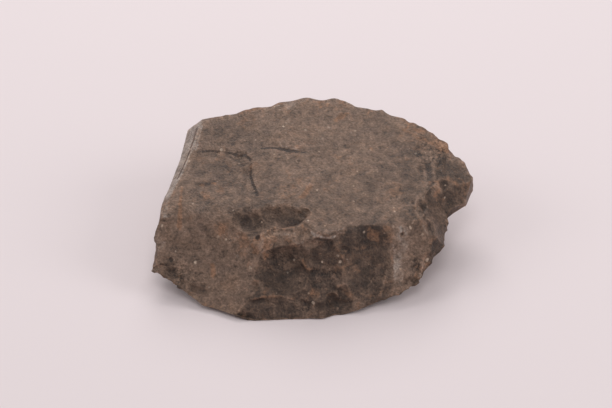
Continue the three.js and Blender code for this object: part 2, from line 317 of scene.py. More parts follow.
    ("front", [(-0.785, 0.24), (-0.79, 0.19)], (0.4, -0.3, 0.4, 0.2)),
    ("front", [(-0.81, 0.215), (-0.805, 0.15)], (0.7, 0.5, -0.6, 0.0)),
    ("front", [(-0.74, 0.15), (-0.68, 0.13)], (1.5, 0.5, -0.4, 0.0)),
    ("front", [(-0.45, 0.04), (-0.38, 0.03)], (1.2, 0.5, -0.6, 0.0)),
    ("front", [(-0.44, 0.055), (-0.42, 0.05)], (0.4, 0.0, 0.6, 0.2)),
    # right end
    ("front", [(0.755, 0.66)], (1.1, -0.1, 0.4, 0.4)),
    ("front", [(0.62, 0.3), (0.64, 0.26)], (1.4, 0.4, -0.4, 0.3)),
    ("front", [(0.615, 0.22)], (0.8, -0.1, 0.3, 0.8)),
    ("front", [(0.65, 0.23), (0.66, 0.28)], (0.5, -0.2, 0.4, 0.2)),
    ("front", [(0.68, 0.31), (0.69, 0.29)], (0.8, 0.3, -0.5, 0.0)),
    ("front", [(0.56, 0.2), (0.61, 0.195)], (1.2, 0.6, -0.6, -0.1)),
]

# Patches with a ragged edge: the side, a line of places on it, the half-width in mm, how much
# darker or paler it is, and how much soil it holds. Each is whole as far as the first share
# of its half-width, and gone at the second.
PATCHES = [
    # painted shade: these four patches darken the steep dark band, across the lit gap between its two
    # hollows too
    (
        "top",
        [(-0.47, -0.35), (-0.4, -0.38), (-0.3, -0.355), (-0.2, -0.365), (-0.12, -0.41)],
        3.3,
        -0.22,
        -0.3,
    ),
    ("top", [(-0.49, -0.33), (-0.43, -0.36)], 1.8, -0.2, -0.3),
    ("top", [(-0.355, -0.34), (-0.33, -0.4)], 1.5, -0.15, -0.3),
    ("top", [(-0.42, -0.42), (-0.375, -0.52)], 1.6, -0.3, -0.3),
    # painted shadow along the second crack's step edge
    ("top", [(-0.21, 0.295), (-0.13, 0.265)], 0.5, -1.3, 0.0),
    # painted light: pales the shaded corner at the end of the arc
    ("top", [(-0.46, 0.26), (-0.43, 0.245)], 1.4, 0.35, 0.0),
    ("top", [(-0.35, -0.6), (-0.3, -0.61)], 1.5, 0.3, 0.9),
    ("top", [(-0.2, -0.57), (-0.13, -0.58)], 1.3, 0.15, 0.0),
    ("front", [(-0.14, 0.6), (-0.1, 0.59)], 0.9, 0.5, 0.5),
    ("front", [(-0.05, 0.62), (-0.01, 0.6)], 1.3, 0.5, 0.0),
    ("front", [(0.76, 0.4), (0.73, 0.32)], 2.2, -0.3, 0.0),
    ("front", [(0.885, 0.62), (0.9, 0.52)], 2.4, -0.12, 0.0),
    ("front", [(0.34, 0.6), (0.37, 0.58)], 1.2, 0.1, 0.5),
    ("front", [(0.3, 0.45), (0.3, 0.3)], 3.0, -0.1, 0.0),
]
PATCH_EDGE = (0.85, 1.2)

# Pale crystals: the side, the place on it, the radius in mm and how bright it is
SPECKS = [
    ("top", -0.585, 0.34, 0.65, 1.0),
    ("top", -0.195, 0.53, 0.6, 1.0),
    ("top", -0.055, 0.5, 0.7, 0.5),
    ("top", -0.37, 0.41, 0.45, 0.6),
    ("top", 0.255, 0.53, 0.6, 0.5),
    ("top", 0.635, 0.315, 0.6, 0.9),
    ("top", 0.35, 0.33, 0.5, 0.5),
    ("top", 0.49, -0.33, 0.5, 0.6),
    ("top", 0.015, -0.14, 0.45, 0.6),
    ("top", 0.585, -0.45, 0.55, 1.0),
    ("top", -0.04, -0.48, 0.5, 0.8),
    ("top", -0.78, 0.38, 0.5, 0.6),
    ("top", 0.05, 0.42, 0.7, 0.35),
    ("top", 0.24, -0.07, 0.5, 0.5),
    ("front", -0.935, 0.575, 0.55, 0.6),
    ("front", -0.85, 0.385, 0.4, 0.8),
    ("front", -0.73, 0.315, 0.65, 1.0),
    ("front", -0.54, 0.51, 0.5, 0.8),
    ("front", -0.59, 0.52, 0.6, 0.45),
    ("front", -0.47, 0.41, 0.5, 0.4),
    ("front", -0.39, 0.36, 0.55, 0.6),
    ("front", -0.125, 0.42, 0.5, 0.55),
    ("front", -0.165, 0.31, 0.4, 0.5),
    ("front", -0.645, 0.165, 0.4, 0.6),
    ("front", 0.045, 0.41, 0.5, 1.0),
    ("front", 0.155, 0.41, 0.75, 1.0),
    ("front", 0.14, 0.47, 0.6, 0.5),
    ("front", -0.01, 0.12, 0.65, 1.0),
    ("front", 0.495, 0.37, 0.6, 0.55),
    ("front", 0.3, 0.62, 0.55, 0.7),
    ("front", 0.48, 0.64, 0.4, 0.6),
    ("front", 0.66, 0.54, 0.6, 0.4),
    ("front", 0.69, 0.32, 0.7, 1.0),
]

# Places where the stone is crumbled by many small dents: the side, the place and the radius
# in mm
ROUGH_PLACES = [
    ("front", -0.8, 0.24, 6.0),
    ("front", -0.2, 0.4, 6.0),
    ("front", 0.06, 0.3, 6.0),
    ("front", -0.05, 0.1, 5.0),
    ("front", 0.66, 0.27, 6.0),
    ("top", -0.25, -0.5, 4.0),
    ("top", 0.75, 0.3, 9.0),
    ("right", -0.2, 0.4, 9.0),
    ("back", 0.2, 0.75, 10.0),
    ("back", -0.5, 0.6, 9.0),
    ("left", 0.5, 0.3, 8.0),
]

# Places where the ridges are worn round: the side, the place and the radius in mm
WORN_PLACES = [
    ("front", -0.85, 0.7, 9.0),
    ("front", -0.62, 0.7, 9.0),
    ("front", 0.25, 0.68, 6.0),
    ("front", 0.55, 0.66, 7.0),
    ("top", -0.15, 0.2, 20.0),
]
WEAR_ROUNDS = 250

# Places where the edges are still clean: the side, the place and the radius in mm
CLEAN_EDGES = [
    ("top", -0.75, 0.5, 12.0),
    ("top", -0.8, 0.1, 12.0),
    ("top", -0.88, -0.2, 12.0),
    ("right", 0.02, 0.42, 9.0),
]

# A short flake gone from the top, deepest at its right and back edge
STEP_CENTRE = (-0.66, 0.0)
STEP_RADII = (12.0, 11.4)
STEP_DEPTH = 0.55
STEP_WALL = 0.06
STEP_LEAN = 0.75
STEP_LOOKS_UP = 0.8

# Chips nibbled out of the ridges by wear: how many, how wide in mm, how deep in widths, and
# how far above the ground
RIM_CHIPS = 300
RIM_CHIP_WIDTH = (0.6, 2.1)
RIM_CHIP_DEPTH = 0.32
RIM_CHIP_GROUND = 2 * MM
RIDGE_BLUNTING = 2

# What stands out counts as a ridge, what lies low as a hollow: over how many rounds of
# smoothing, and how far for a full one
RIDGE_REACH = 10
HOLLOW_REACH = 90
RIDGE_HEIGHT = 0.16 * MM
HOLLOW_DEPTH = 0.5 * MM
# The crest of the sharpest ridges carries a painted highlight
CREST_REACH = 3
CREST_HEIGHT = 0.05 * MM

# What the weathering is given, under the names that the settings have
WEAR_SIZES = (
    "wave_size",
    "wave_depth",
    "grain_size",
    "grain_depth",
    "pit_spacing",
    "pit_depth",
    "dent_size",
    "dent_depth",
    "warp_size",
    "warp",
)

# Pits and dents: how the pits' sizes spread, how soft their rims are, how round a dent is and
# how much deeper it is on rough places and ridges
PIT_SIZES = (0.6, 0.3, -0.08)
PIT_RIM = 0.1
DENT_ROUNDNESS = 1.6
DENT_EVERYWHERE = 0.12
DENT_ON_RIDGES = 0.4
CLEAN_EASES_WEAR = 0.8

# The bends in the ridges: their size and their share of the warp
WARPS = ((1.0, 1.0), (0.3, 0.45))

# The noises of the skin: size in mm, detail, roughness and distortion
SKIN_NOISES = {
    "broad": (12.0, 4.0, 0.6, 0.0),
    "mottle": (2.4, 5.0, 0.65, 0.0),
    "smear": (6.0, 5.0, 0.6, 1.2),
    "patch": (1.3, 3.0, 0.6, 0.8),
    "fine": (0.6, 3.0, 0.6, 0.0),
    "strand": (3.5, 2.0, 0.5, 1.5),
    "tint": (7.0, 4.0, 0.6, 0.8),
    "soil": (4.0, 6.0, 0.7, 0.6),
}
SMEAR_STRETCH = (1.0, 1.6, 1.6)
SCRATCH_WIDTH = 0.02
SCRATCH_GAPS = 0.12

# How much each part adds to the shade, from 0 for dark glass to 1 for patina and 2 for pale dust and painted
# sheen
SHADE_SHARES = {
    "broad": 0.8,
    "smear": 0.9,
    "mottle": 0.7,
    # paler on ridges: edge wear and painted highlight
    "ridge": 0.25,
    # painted shade: darker in the hollows
    "hollow": -0.3,
    "scratch": 0.5,
    # painted highlight along the crest of the sharpest ridges
    "crest": 0.35,
}
GLASS_TO_PATINA = (-0.25, 1.15)
# Past this rise the skin turns to the palest colour: pale dust, and painted sheen where it paints glints and
# highlights
PATINA_TO_DUST_AND_SHEEN = (1.1, 2.0)

# Where the skin is tinted, soiled, speckled and pierced, and how strongly
TINT_RISE = (0.5, 0.68)
TINT_SHARE = 0.5
SOIL_RISE = (0.54, 0.82)
SOIL_SHARE = 0.6
MARK_SOIL = 0.35
CRYSTAL_SPACING = 1.6
CRYSTAL_SIZES = (1.1, -0.72)
CRYSTAL_SHARE = 0.6
CRYSTAL_TINT = (0.4, 0.6)
HOLE_SPACING = 1.9
HOLE_SIZES = (0.9, -0.5)
HOLE_SHARE = 0.6
PIT_SHARE = 0.55
SPECK_SHARE = 0.85

# Base roughness, the bump of the finest grain and how the skin bends light
SKIN_ROUGHNESS = 0.52
BUMP_STRENGTH = 0.9
BUMP_DEPTH = 0.4 * MM
SKIN_IOR = 1.42
FLOOR_ROUGHNESS = 0.9

# The camera and the lights, in lengths of the stone
VIEW_ANGLE = 40
VIEW_DISTANCE = 620 / 90
VIEW_WIDTH = 174.3 / 90
VIEW_TARGET = HALF * [-0.053, 0.174, 0.286]
SENSOR = 36
FLOOR_WIDTH = 40
LIGHT_AIM = (0, 0, 0.1)

# The lights: where each is and how wide, in lengths of the stone, and its watts
LIGHTS = [
    ("softbox overhead", (-0.4, 6.2, 5.8), 5.2, 2.85),
    ("panel in front", (0.0, -3.2, 8.4), 4.0, 1.2),
    ("panel left", (-7.0, 0.0, 5.0), 4.0, 0.85),
    ("panel right", (7.0, -1.0, 4.5), 4.0, 1.3),
]
SKY = (1.0, 0.98, 0.99)
SKY_STRENGTH = 0.35


def length_setting(name, about, default):
    return bpy.props.FloatProperty(name=name, description=about, default=default, unit="LENGTH", precision=5)


def colour_setting(name, about, default):
    return bpy.props.FloatVectorProperty(name=name, description=about, default=default, subtype="COLOR")


class StoneSettings(bpy.types.PropertyGroup):
    """Sizes of the stone's surface detail"""

    detail: bpy.props.IntProperty(
        name="Detail", description="Cuts along each side of the ray ball", default=98
    )
    seed: bpy.props.IntProperty(name="Seed", description="Picks the chips of the ridges", default=4)
    wave_size: length_setting("Wave size", "Length of the soft waves", 9 * MM)
    wave_depth: length_setting("Wave depth", "Height of the soft waves", 0.4 * MM)
    grain_size: length_setting("Grain size", "Width of the weathered grain", 1.5 * MM)
    grain_depth: length_setting("Grain depth", "Depth of the weathered grain", 0.12 * MM)
    pit_spacing: length_setting("Pit spacing", "Distance between pits", 3.7 * MM)
    pit_depth: length_setting("Pit depth", "Depth of a pit", 0.35 * MM)
    dent_size: length_setting("Dent size", "Distance between dents", 1.9 * MM)
    dent_depth: length_setting("Dent depth", "Depth of a dent", 0.3 * MM)
    warp_size: length_setting("Warp size", "Length of the bends in the ridges", 7 * MM)
    warp: length_setting("Warp", "How far the ridges stray", 0.7 * MM)


class SkinSettings(bpy.types.PropertyGroup):
    """Colours of the stone's skin and of the floor"""

    glass: colour_setting("Dark glass", "The least weathered scars", (0.05, 0.029, 0.02))
    patina: colour_setting("Patina", "The weathered skin", (0.207, 0.132, 0.094))
    # The palest colour is pale dust and also paints sheen: the glint of the left strip and the highlights on
    # ridges and rims
    dust: colour_setting("Dust and sheen", "The palest skin", (0.34, 0.27, 0.23))
    cool: colour_setting("Cool tint", "Multiplies the skin where it is bluish", (0.98, 1.0, 1.05))
    warm: colour_setting("Warm tint", "Multiplies the skin where it is brownish", (1.0, 0.93, 0.85))
    soil: colour_setting("Soil", "Ochre stains", (0.27, 0.135, 0.075))
    speck: colour_setting("Speck", "Pale specks", (0.52, 0.39, 0.3))
    floor: colour_setting("Floor", "The surface under the stone", (0.79, 0.7, 0.71))


class Field:
    """One socket of a node tree, with the sums that can be done on it."""

    def __init__(self, nodes, socket):
        self.nodes = nodes
        self.socket = socket

    def math(self, operation, *others):
        return self.nodes.add("ShaderNodeMath", {"operation": operation}, dict(enumerate([self, *others])))

    def vector(self, operation, other, out="Vector"):
        return self.nodes.add("ShaderNodeVectorMath", {"operation": operation}, {0: self, 1: other}, out=out)

    def __add__(self, other):
        return self.math("ADD", other)

    __radd__ = __add__

    def __sub__(self, other):
        return self.math("SUBTRACT", other)

    def __rsub__(self, other):
        return self.nodes.add("ShaderNodeMath", {"operation": "SUBTRACT"}, {0: other, 1: self})

    def __mul__(self, other):
        return self.math("MULTIPLY", other)

    __rmul__ = __mul__

    def __truediv__(self, other):
        return self.math("DIVIDE", other)

    def __rtruediv__(self, other):
        return self.nodes.add("ShaderNodeMath", {"operation": "DIVIDE"}, {0: other, 1: self})

    def clamped(self):
        return self.nodes.add("ShaderNodeClamp", None, {"Value": self})

    def scaled(self, factor):
        return self.nodes.add("ShaderNodeVectorMath", {"operation": "SCALE"}, {0: self, "Scale": factor})

    def rise(self, low, high):
        """0 below low, 1 above high, and a soft rise between them"""
        settings = {"interpolation_type": "SMOOTHSTEP"}
        values = {"Value": self, "From Min": low, "From Max": high}
        return self.nodes.add("ShaderNodeMapRange", settings, values)


class Nodes:
    """Adds nodes to one tree."""

    def __init__(self, tree):
        self.tree = tree
        tree.nodes.clear()

    def add(self, kind, settings=None, values=None, out=0):
        node = self.tree.nodes.new(kind)
        for name, value in (settings or {}).items():
            setattr(node, name, value)
        for name, value in (values or {}).items():
            if isinstance(value, Field):
                self.tree.links.new(value.socket, node.inputs[name])
            else:
                node.inputs[name].default_value = value
        return Field(self, node.outputs[out]) if len(node.outputs) else node

    def mix(self, factor, low, high):
        return self.add("ShaderNodeMix", {"data_type": "RGBA"}, {0: factor, 6: low, 7: high}, out=2)

    def noise(self, place, size, detail=3.0, roughness=0.5, distortion=0.0, out=0):
        values = {
            "Vector": place,
            "Scale": 1.0 / size,
            "Detail": detail,
            "Roughness": roughness,
            "Distortion": distortion,
        }
        return self.add("ShaderNodeTexNoise", None, values, out=out)

    def cells(self, place, spacing, out="Distance"):
        return self.add("ShaderNodeTexVoronoi", None, {"Vector": place, "Scale": 1.0 / spacing}, out=out)


def toward(azimuth, tilt):
    """The way that an azimuth, counted from +X towards +Y, and a tilt above the horizon look"""
    a, t = math.radians(azimuth), math.radians(tilt)
    return np.array([math.cos(a) * math.cos(t), math.sin(a) * math.cos(t), math.sin(t)])


def slope_axes(out):
    """Across the slope, up the slope and out of it"""
    across = np.cross([0.0, 0.0, 1.0], out)
    across /= np.linalg.norm(across)
    return np.array([across, np.cross(out, across), out])


class Scar:
    """The hollow that one flake leaves: part of the inside of an oval ball."""

    def __init__(self, at, faces, bends, patina):
        self.patina = patina
        self.axes = slope_axes(toward(*faces))
        depth = min(bends)
        self.sizes = np.array([math.sqrt(bend * depth) for bend in bends] + [depth]) * MM
        self.middle = HALF * at + self.axes[2] * depth * MM

    def distance(self, rays):
        """How far from the heart each ray goes into the hollow"""
        start = (HEART - self.middle) @ self.axes.T / self.sizes
        along = rays @ self.axes.T / self.sizes
        a = (along * along).sum(1)
        b = along @ start
        root = b * b - a * (start @ start - 1)
        nearest = (-b - np.sqrt(np.maximum(root, 0))) / a
        return np.where((root >= 0) & (nearest > 0), nearest, np.inf)


SCAR_HOLLOWS = [Scar(*scar) for scar in SCARS]
PATINAS = np.array([scar.patina for scar in SCAR_HOLLOWS] + [BLANK_PATINA, RESTING_PATINA])


def unit(vectors):
    return vectors / np.linalg.norm(vectors, axis=1)[:, None]


def reach(rays):
    """How far the stone goes along each ray, and the number of what ends it there"""
    ground = np.where(rays[:, 2] < 0, -HEART[2] / np.minimum(rays[:, 2], -1e-12), np.inf)
    ends = [scar.distance(rays) for scar in SCAR_HOLLOWS]
    ends += [1 / np.linalg.norm(rays / BLANK, axis=1), ground]
    ends = np.array(ends)
    nearest = ends.argmin(0)
    return ends[nearest, np.arange(len(rays))], nearest


def cast_rays(detail):
    """Rays from the heart, closest together where the stone is looked at most"""
    ball = bmesh.new()
    bmesh.ops.create_icosphere(ball, subdivisions=1, radius=1.0)
    bmesh.ops.subdivide_edges(ball, edges=ball.edges[:], cuts=detail - 1, use_grid_fill=True)
    bmesh.ops.triangulate(ball, faces=ball.faces[:])
    bmesh.ops.recalc_face_normals(ball, faces=ball.faces[:])
    ball.verts.ensure_lookup_table()
    corners = np.array([vertex.co for vertex in ball.verts])
    faces = np.array([[vertex.index for vertex in face.verts] for face in ball.faces])
    ball.free()
    return unit((unit(corners) + FINER_TOWARDS) * RAY_SPREAD), faces


def edges_of(faces):
    pairs = np.concatenate([faces[:, [0, 1]], faces[:, [1, 2]], faces[:, [2, 0]]])
    return np.unique(np.sort(pairs, axis=1), axis=0)


def slide_to_ridges(rays, faces):
    """Slides the nearest ray on to each ridge that an edge of the mesh crosses."""
    distance, end = reach(rays)
    edges = edges_of(faces)
    edges = edges[end[edges[:, 0]] != end[edges[:, 1]]]
    first, last = rays[edges[:, 0]], rays[edges[:, 1]]
    low, high = np.zeros(len(edges)), np.ones(len(edges))
    for _ in range(RIDGE_STEPS):
        middle = (low + high) / 2
        same = reach(unit(first + (last - first) * middle[:, None]))[1] == end[edges[:, 0]]
        low, high = np.where(same, middle, low), np.where(same, high, middle)
    near_first = low < 0.5
    mover = np.where(near_first, edges[:, 0], edges[:, 1])
    share = np.where(near_first, low, high)
    slide = np.where(near_first, low, 1 - high) * np.linalg.norm(first - last, axis=1) * distance[mover]
    order = np.argsort(-slide)
    moved = rays.copy()
    moved[mover[order]] = unit(first + (last - first) * share[:, None])[order]
    return moved


class Surface:
    """The stone's points and faces, with what wear needs to know about them"""

    def __init__(self, points, faces):
        self.points = points
        self.faces = faces
        self.looks = self.normals()
        self.edges = edges_of(faces)
        ends = np.concatenate([self.edges[:, 0], self.edges[:, 1]])
        self.neighbours = np.bincount(ends, minlength=len(points))

    def smoothed(self, values, rounds):
        """Each value set to the mean of its neighbours' values, so many times over"""
        first, last = self.edges[:, 0], self.edges[:, 1]
        ends = np.concatenate([first, last])
        values = values.copy()
        for _ in range(rounds):
            for k in range(values.shape[1]):
                column = values[:, k]
                total = np.bincount(ends, np.concatenate([column[last], column[first]]), len(values))
                values[:, k] = (column + total / self.neighbours) / 2
        return values

    def normals(self):
        corners = self.points[self.faces]
        normal = np.cross(corners[:, 1] - corners[:, 0], corners[:, 2] - corners[:, 0])
        corner = self.faces.ravel()
        totals = [np.bincount(corner, np.repeat(normal[:, k], 3), len(self.points)) for k in range(3)]
        return unit(np.stack(totals, 1))

    def bulge(self, rounds):
        """How far each point stands out of the smoothed stone"""
        return ((self.points - self.smoothed(self.points, rounds)) * self.normals()).sum(1)

    def nearest(self, side, first, second):
        """The point of one side nearest to a place on it, given in shares"""
        (a, b), looks = SIDES[side]
        away = np.hypot(self.points[:, a] - first * HALF[a], self.points[:, b] - second * HALF[b])
        return np.where(self.looks @ looks > FACES_SIDE, away, np.inf).argmin()

    def place(self, side, first, second):
        return self.points[self.nearest(side, first, second)]


def fall_off(share):
    """1 in the middle of a mark, and a soft fall to 0 at its edge"""
    rest = np.clip(1 - share, 0, 1)
    return rest * rest * (3 - 2 * rest)


def away_from_line(points, line):
    """How far each point is from a line of places"""
    away = np.linalg.norm(points - line[0], axis=1)
    for start, end in zip(line, line[1:]):
        along = end - start
        share = np.clip((points - start) @ along / (along @ along), 0, 1)
        away = np.minimum(away, np.linalg.norm(points - start - share[:, None] * along, axis=1))
    return away


def make_marks(surface):
    """Cuts or raises every mark that has a depth."""
    normals = surface.normals()
    points = surface.points.copy()
    for side, spots, (width, depth, _, _) in MARKS:
        if depth:
            line = [surface.place(side, *spot) for spot in spots]
            cover = fall_off(away_from_line(points, line) / (width * MM * MARK_SPREAD))
            surface.points -= normals * (cover * depth * MM)[:, None]


def lift_short_flake(surface):
    """Lowers the floor that the short flake on the top left."""
    middle = surface.place("top", *STEP_CENTRE)
    from_middle = (surface.points - middle)[:, :2] / MM / STEP_RADII
    inside = 1 - np.linalg.norm(from_middle, axis=1)
    wall = np.clip(inside / STEP_WALL, 0, 1)
    lean = np.clip(1 - STEP_LEAN + from_middle.sum(1) * STEP_LEAN, 0, 1)
    looks_up = surface.normals()[:, 2] > STEP_LOOKS_UP
    surface.points[:, 2] -= wall * lean * looks_up * STEP_DEPTH * MM


def cover_places(surface, places):
    """How much each point belongs to some round places"""
    cover = np.zeros(len(surface.points))
    for side, first, second, radius in places:
        away = np.linalg.norm(surface.points - surface.place(side, first, second), axis=1)
        cover = np.maximum(cover, fall_off(away / (radius * MM)))
    return cover


def wear_round(surface):
    """Rounds the ridges of the worn places"""
    worn = cover_places(surface, WORN_PLACES)[:, None]
    surface.points = surface.points + (surface.smoothed(surface.points, WEAR_ROUNDS) - surface.points) * worn


def blunt_ridges(surface):
    surface.points = surface.smoothed(surface.points, RIDGE_BLUNTING)


def chip_ridges(surface, random):
    """Small chips, broken out where the stone stands out most"""
    keeps_edge = cover_places(surface, CLEAN_EDGES) > 0
    stands_out = surface.bulge(RIDGE_REACH) > RIDGE_HEIGHT
    off_ground = surface.points[:, 2] > RIM_CHIP_GROUND
    sharp = np.flatnonzero(stands_out & off_ground & ~keeps_edge)
    normals = surface.normals()
    for centre in random.choice(sharp, RIM_CHIPS, replace=False):
        width = random.uniform(*RIM_CHIP_WIDTH) * MM
        share = np.linalg.norm(surface.points - surface.points[centre], axis=1) / width
        depth = RIM_CHIP_DEPTH * width * np.clip(1 - share * share, 0, 1)
        surface.points -= normals[centre] * depth[:, None]


def fit_to_box(points):
    """Brings the stone to the frame's box, with its lowest points on the ground."""
    low, high = points.min(0), points.max(0)
    return BOX_LOW + (points - low) * (BOX_HIGH - BOX_LOW) / (high - low)


def share_of(value, full):
    return np.clip(value / full, 0, 1)


def shape_stone(settings):
    """The stone's mesh, with what its skin follows kept as attributes"""
    random = np.random.default_rng(settings.seed)
    rays, faces = cast_rays(settings.detail)
    rays = slide_to_ridges(rays, faces)
    distance, end = reach(rays)
    surface = Surface(fit_to_box(HEART + rays * distance[:, None]), faces)
    rough = cover_places(surface, ROUGH_PLACES)
    wear_round(surface)
    lift_short_flake(surface)
    make_marks(surface)
    chip_ridges(surface, random)
    blunt_ridges(surface)
    mesh = bpy.data.meshes.new(NODE)
    mesh.from_pydata(surface.points.tolist(), [], faces.tolist())
    mesh.shade_smooth()
    normals = surface.normals()
    skin = {
        "patina": surface.smoothed(PATINAS[end][:, None], PATINA_BLUR)[:, 0],
        "rough": rough,
        "clean": cover_places(surface, CLEAN_EDGES),
        **{side: share_of(normals @ SIDES[side][1], FACES_SIDE) for side in PAINTED_SIDES},
        # paler on ridges in the shade: edge wear and painted highlight
        "ridge": share_of(surface.bulge(RIDGE_REACH), RIDGE_HEIGHT),
        # painted shade: darkens the skin in the hollows
        "hollow": share_of(-surface.bulge(HOLLOW_REACH), HOLLOW_DEPTH),
        # painted highlight along the crest of the sharpest ridges
        "crest": share_of(surface.bulge(CREST_REACH), CREST_HEIGHT),
    }
    for name, values in skin.items():
        mesh.attributes.new(name, "FLOAT", "POINT").data.foreach_set("value", values.astype(np.float32))
    return mesh


def weathering_tree(material):
    """Geometry nodes that wear soft waves, grain, pits and dents into a surface"""
    tree = bpy.data.node_groups.new("Weathering", "GeometryNodeTree")
    tree.interface.new_socket("Geometry", in_out="INPUT", socket_type="NodeSocketGeometry")
    for name in WEAR_SIZES:
        tree.interface.new_socket(name, in_out="INPUT", socket_type="NodeSocketFloat")
    tree.interface.new_socket("Geometry", in_out="OUTPUT", socket_type="NodeSocketGeometry")
    nodes = Nodes(tree)
    group = tree.nodes.new("NodeGroupInput")
    given = {socket.name: Field(nodes, socket) for socket in group.outputs if socket.name}
    place = nodes.add("GeometryNodeInputPosition")
    normal = nodes.add("GeometryNodeInputNormal")

    def at_size(size):
        return place.scaled(1.0 / size)

    def attribute(name):
        return nodes.add("GeometryNodeInputNamedAttribute", {"data_type": "FLOAT"}, {"Name": name})

    wave = nodes.noise(at_size(given["wave_size"]), 1.0, detail=4.0, roughness=0.6)
    grain = nodes.noise(at_size(given["grain_size"]), 1.0, detail=3.0, roughness=0.6)
    pit_place = at_size(given["pit_spacing"])
    pit_scale, pit_spread, pit_least = PIT_SIZES
    pit_size = nodes.noise(pit_place, pit_scale, detail=0.0) * pit_spread + pit_least
    pit = (pit_size - nodes.cells(pit_place, 1.0)).rise(0.0, PIT_RIM)
    dent_cell = nodes.cells(at_size(given["dent_size"]), 1.0)
    dent_reach = attribute("rough") + DENT_EVERYWHERE + attribute("ridge") * DENT_ON_RIDGES
    dent = (1.0 - dent_cell * dent_cell * DENT_ROUNDNESS) * dent_reach
    depth = wave * given["wave_depth"] + grain * given["grain_depth"]
    depth = depth + pit * given["pit_depth"] + dent * given["dent_depth"]
    clean = attribute("clean")
    offset = normal.scaled((clean * CLEAN_EASES_WEAR - 1.0) * depth)
    for size, share in WARPS:
        warp = nodes.noise(at_size(given["warp_size"]), size, detail=2.0, out="Color")
        strength = given["warp"] * share * (1.0 - clean)
        offset = offset.vector("ADD", warp.vector("SUBTRACT", (0.5, 0.5, 0.5)).scaled(strength))
    moved = nodes.add("GeometryNodeSetPosition", None, {"Geometry": given["Geometry"], "Offset": offset})
    stored = nodes.add(
        "GeometryNodeStoreNamedAttribute",
        {"data_type": "FLOAT", "domain": "POINT"},
        {"Geometry": moved, "Name": "pit", "Value": pit},
    )
    real = nodes.add("GeometryNodeRealizeInstances", None, {"Geometry": stored})
    dressed = nodes.add("GeometryNodeSetMaterial", None, {"Geometry": real, "Material": material})
    nodes.add("NodeGroupOutput", None, {"Geometry": dressed})
    return tree


def weather(stone, settings, material):
    """Wears the stone with the weathering tree and turns the result into a plain mesh"""
    tree = weathering_tree(material)
    modifier = stone.modifiers.new("Weathering", "NODES")
    modifier.node_group = tree
    for item in tree.interface.items_tree:
        if item.name in WEAR_SIZES:
            modifier[item.identifier] = getattr(settings, item.name)
    bpy.context.view_layer.update()
    graph = bpy.context.evaluated_depsgraph_get()
    worn = bpy.data.meshes.new_from_object(stone.evaluated_get(graph), depsgraph=graph)
    stone.modifiers.remove(modifier)
    points = np.zeros(len(worn.vertices) * 3)
    worn.vertices.foreach_get("co", points)
    worn.vertices.foreach_set("co", fit_to_box(points.reshape(-1, 3)).ravel())
    worn.update()
    worn.shade_smooth()
    stone.data = worn


def on_side(side, spots):
    """Places on one side, in metres, flattened along the way that the side looks"""
    places = np.zeros((len(spots), 3))
    places[:, list(SIDES[side][0])] = spots
    return places * HALF


def away_in_widths(place, spots, width):
    """How far a place is from a line of spots, in half-widths of the line"""
    if len(spots) == 1:
        return place.vector("DISTANCE", tuple(spots[0]), out="Value") / width
    away = None
    for start, end in zip(spots, spots[1:]):
        along = end - start
        from_start = place.vector("SUBTRACT", tuple(start))
        share = from_start.vector("DOT_PRODUCT", tuple(along / (along @ along)), out="Value").clamped()
        values = {0: tuple(along), "Scale": share}
        foot = place.nodes.add("ShaderNodeVectorMath", {"operation": "SCALE"}, values)
        gap = from_start.vector("DISTANCE", foot, out="Value")
        away = gap if away is None else away.math("MINIMUM", gap)
    return away / width


def paint_side(side, near, far, facing):
    """What the marks of one side add to the shade and the soil there, and its pale crystals"""
    flatten = tuple(1.0 if axis in SIDES[side][0] else 0.0 for axis in range(3))
    near, far = near.vector("MULTIPLY", flatten), far.vector("MULTIPLY", flatten)
    shade, soil, speck = 0.0, 0.0, 0.0
    for mark_side, spots, (width, _, darker, dirt) in MARKS:
        if mark_side == side:
            place = near if width < FINE_MARK else far
            away = away_in_widths(place, on_side(side, spots), width * MM)
            cover = (MARK_EDGE - away).rise(0.0, MARK_EDGE)
            shade = cover * darker + shade
            soil = cover * dirt + soil
    for patch_side, spots, width, darker, dirt in PATCHES:
        if patch_side == side:
            away = away_in_widths(far, on_side(side, spots), width * MM)
            cover = (PATCH_EDGE[1] - away).rise(0.0, PATCH_EDGE[1] - PATCH_EDGE[0])
            shade = cover * darker + shade
            soil = cover * dirt + soil
    for speck_side, first, second, radius, brightness in SPECKS:
        if speck_side == side:
            away = away_in_widths(near, on_side(side, [(first, second)]), radius * MM * SPECK_SIZE)
            cover = (SPECK_RIM - away).rise(0.0, SPECK_SOFTNESS)
            speck = (cover * brightness).math("MAXIMUM", speck)
    return shade * facing, soil * facing, speck * facing


